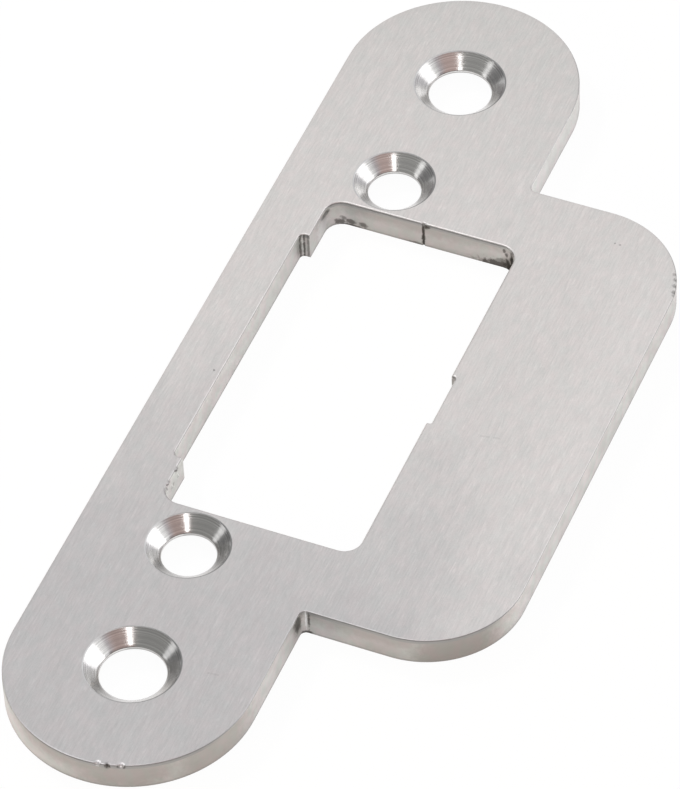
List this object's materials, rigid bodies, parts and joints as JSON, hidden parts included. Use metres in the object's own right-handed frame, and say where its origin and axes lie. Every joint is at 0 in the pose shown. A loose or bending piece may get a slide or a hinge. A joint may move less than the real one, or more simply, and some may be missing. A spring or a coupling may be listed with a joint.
{
  "type": "door strike plate",
  "caption": "Flat door strike plate with round ends, a rounded lip on one side, a bolt window with shallow reliefs, and countersunk screw holes.",
  "frame": {"origin": "midway between the two outer screw holes, at mid-thickness", "axes": "+X across the strip, out over the lip; +Y along the strip; +Z out of the front face, away from the door frame"},
  "size_m": [0.0441, 0.1094, 0.0032],
  "materials": {
    "plate": "stainless steel with a fine brushed grain along the strip, shiny turned countersinks"
  },
  "bodies": {
    "root": {"strike_plate": "plate"}
  },
  "joints": []
}
